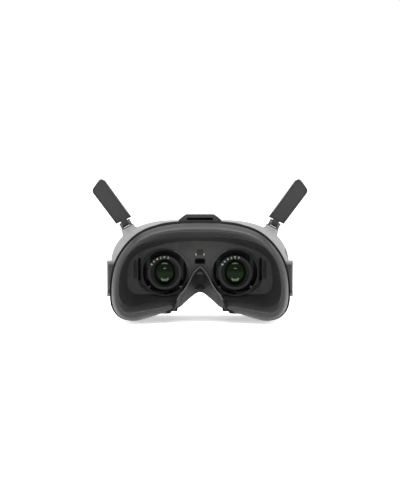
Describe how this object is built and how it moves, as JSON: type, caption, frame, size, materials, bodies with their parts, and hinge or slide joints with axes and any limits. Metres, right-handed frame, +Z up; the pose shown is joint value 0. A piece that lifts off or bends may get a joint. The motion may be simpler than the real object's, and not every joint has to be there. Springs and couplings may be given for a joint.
{
  "type": "fpv goggles",
  "caption": "Head-worn video goggles with a curved face cushion, sliding focusing eyepieces and folding paddle antennas on the shoulders.",
  "frame": {"origin": "under the middle of the bounding box, on the surface the goggles stand on", "axes": "+X to the wearer's right, +Y the way the wearer looks, +Z up"},
  "size_m": [0.1954, 0.104, 0.1288],
  "materials": {
    "shell_grey": "fine matt texture",
    "cover_dark": "satin",
    "pad_dark": "satin",
    "loop_plastic": "matt",
    "mask_plastic": "matt",
    "cushion_foam": "soft matt",
    "nose_rubber": "matt",
    "panel_plastic": "fine matt texture",
    "sensor_glass": "dark bronze",
    "board": "solder mask",
    "port_metal": "plain",
    "button_plastic": "matt",
    "frame_plastic": "matt",
    "rod_steel": "ground",
    "sink_aluminium": "plain",
    "ring_plastic": "fine matt texture",
    "knob_plastic": "ribbed",
    "cell_plastic": "dead matt",
    "lens_glass": "green coated",
    "display_glass": "polished",
    "antenna_plastic": "fine matt texture"
  },
  "bodies": {
    "headset": {"main_shell": "shell_grey", "front_cover": "cover_dark", "touch_pad": "pad_dark", "top_strap_loop": "loop_plastic", "mask_frame": "mask_plastic", "face_cushion": "cushion_foam", "nose_shield": "nose_rubber", "eye_panel": "panel_plastic", "sensor_window": "sensor_glass", "sensor_board": "board", "pocket_insert": "panel_plastic", "io_board": "board", "power_socket": "port_metal", "headphone_jack": "port_metal", "usb_c_port": "port_metal", "card_slot": "port_metal", "button_switch": "board", "optics_frame": "frame_plastic", "guide_rod_upper": "rod_steel", "main_board": "board", "heat_sink": "sink_aluminium", "fan_housing": "frame_plastic", "lens_bezel_left": "panel_plastic", "lens_bezel_right": "panel_plastic", "vent_grille_left": "mask_plastic", "vent_grille_right": "mask_plastic", "side_strap_mount_left": "loop_plastic", "side_strap_mount_right": "loop_plastic", "guide_rod_lower_left": "rod_steel", "guide_rod_lower_right": "rod_steel", "camera_module_left": "frame_plastic", "camera_module_right": "frame_plastic", "camera_window_left": "display_glass", "camera_window_right": "display_glass", "antenna_base_left": "antenna_plastic", "antenna_base_right": "antenna_plastic", "antenna_pin_left": "rod_steel", "antenna_pin_right": "rod_steel"},
    "link_button": {"link_button": "button_plastic"},
    "fan_rotor": {"fan_rotor": "frame_plastic"},
    "eye_carriage_left": {"eye_carriage_left": "frame_plastic", "display_left": "display_glass"},
    "diopter_ring_left": {"diopter_ring_left": "ring_plastic"},
    "lens_cell_left": {"lens_cell_left": "cell_plastic", "eye_lens_left": "lens_glass", "rear_lens_left": "lens_glass"},
    "eye_knob_left": {"eye_knob_left": "knob_plastic"},
    "antenna_left": {"antenna_shell_left": "antenna_plastic", "antenna_cap_left": "antenna_plastic", "antenna_board_left": "board"},
    "eye_carriage_right": {"eye_carriage_right": "frame_plastic", "display_right": "display_glass"},
    "diopter_ring_right": {"diopter_ring_right": "ring_plastic"},
    "lens_cell_right": {"lens_cell_right": "cell_plastic", "eye_lens_right": "lens_glass", "rear_lens_right": "lens_glass"},
    "eye_knob_right": {"eye_knob_right": "knob_plastic"},
    "antenna_right": {"antenna_shell_right": "antenna_plastic", "antenna_cap_right": "antenna_plastic", "antenna_board_right": "board"}
  },
  "joints": [
    {"name": "eye_slide_left", "type": "slide", "parent": "headset", "child": "eye_carriage_left", "axis": [1, 0, 0], "range_m": [-0.004, 0.004]},
    {"name": "diopter_left", "type": "hinge", "parent": "eye_carriage_left", "child": "diopter_ring_left", "pos_m": [-0.032, -0.008, 0.045], "axis": [0, 1, 0], "range_deg": [-14, 57]},
    {"name": "knob_turn_left", "type": "hinge", "parent": "eye_carriage_left", "child": "eye_knob_left", "pos_m": [-0.032, 0.0029, 0.0095], "axis": [0, 0, 1], "range_deg": [-343, 85]},
    {"name": "focus_left", "type": "slide", "parent": "eye_carriage_left", "child": "lens_cell_left", "axis": [0, 1, 0], "range_m": [-0.0009, 0.0034]},
    {"name": "antenna_fold_left", "type": "hinge", "parent": "headset", "child": "antenna_left", "pos_m": [-0.06783, 0.004, 0.08824], "axis": [-0.8829, 0, -0.4695], "range_deg": [0, 90]},
    {"name": "eye_slide_right", "type": "slide", "parent": "headset", "child": "eye_carriage_right", "axis": [1, 0, 0], "range_m": [-0.004, 0.004]},
    {"name": "diopter_right", "type": "hinge", "parent": "eye_carriage_right", "child": "diopter_ring_right", "pos_m": [0.032, -0.008, 0.045], "axis": [0, 1, 0], "range_deg": [-14, 57]},
    {"name": "knob_turn_right", "type": "hinge", "parent": "eye_carriage_right", "child": "eye_knob_right", "pos_m": [0.032, 0.0029, 0.0095], "axis": [0, 0, 1], "range_deg": [-343, 85]},
    {"name": "focus_right", "type": "slide", "parent": "eye_carriage_right", "child": "lens_cell_right", "axis": [0, 1, 0], "range_m": [-0.0009, 0.0034]},
    {"name": "antenna_fold_right", "type": "hinge", "parent": "headset", "child": "antenna_right", "pos_m": [0.06783, 0.004, 0.08824], "axis": [-0.8829, 0, 0.4695], "range_deg": [0, 90]},
    {"name": "link_button_press", "type": "slide", "parent": "headset", "child": "link_button", "axis": [1, 0, 0], "range_m": [0, 0.0006], "stiffness_N_per_m": 600, "springref_m": -0.001},
    {"name": "fan_spin", "type": "hinge", "parent": "headset", "child": "fan_rotor", "pos_m": [0, 0.041, 0.054], "axis": [0, 1, 0], "continuous": true}
  ],
  "couplings": [
    {"joint": "knob_turn_left", "follows": "diopter_left", "ratio": -6},
    {"joint": "focus_left", "follows": "diopter_left", "m_per_rad": 0.0032},
    {"joint": "knob_turn_right", "follows": "diopter_right", "ratio": -6},
    {"joint": "focus_right", "follows": "diopter_right", "m_per_rad": 0.0032}
  ]
}
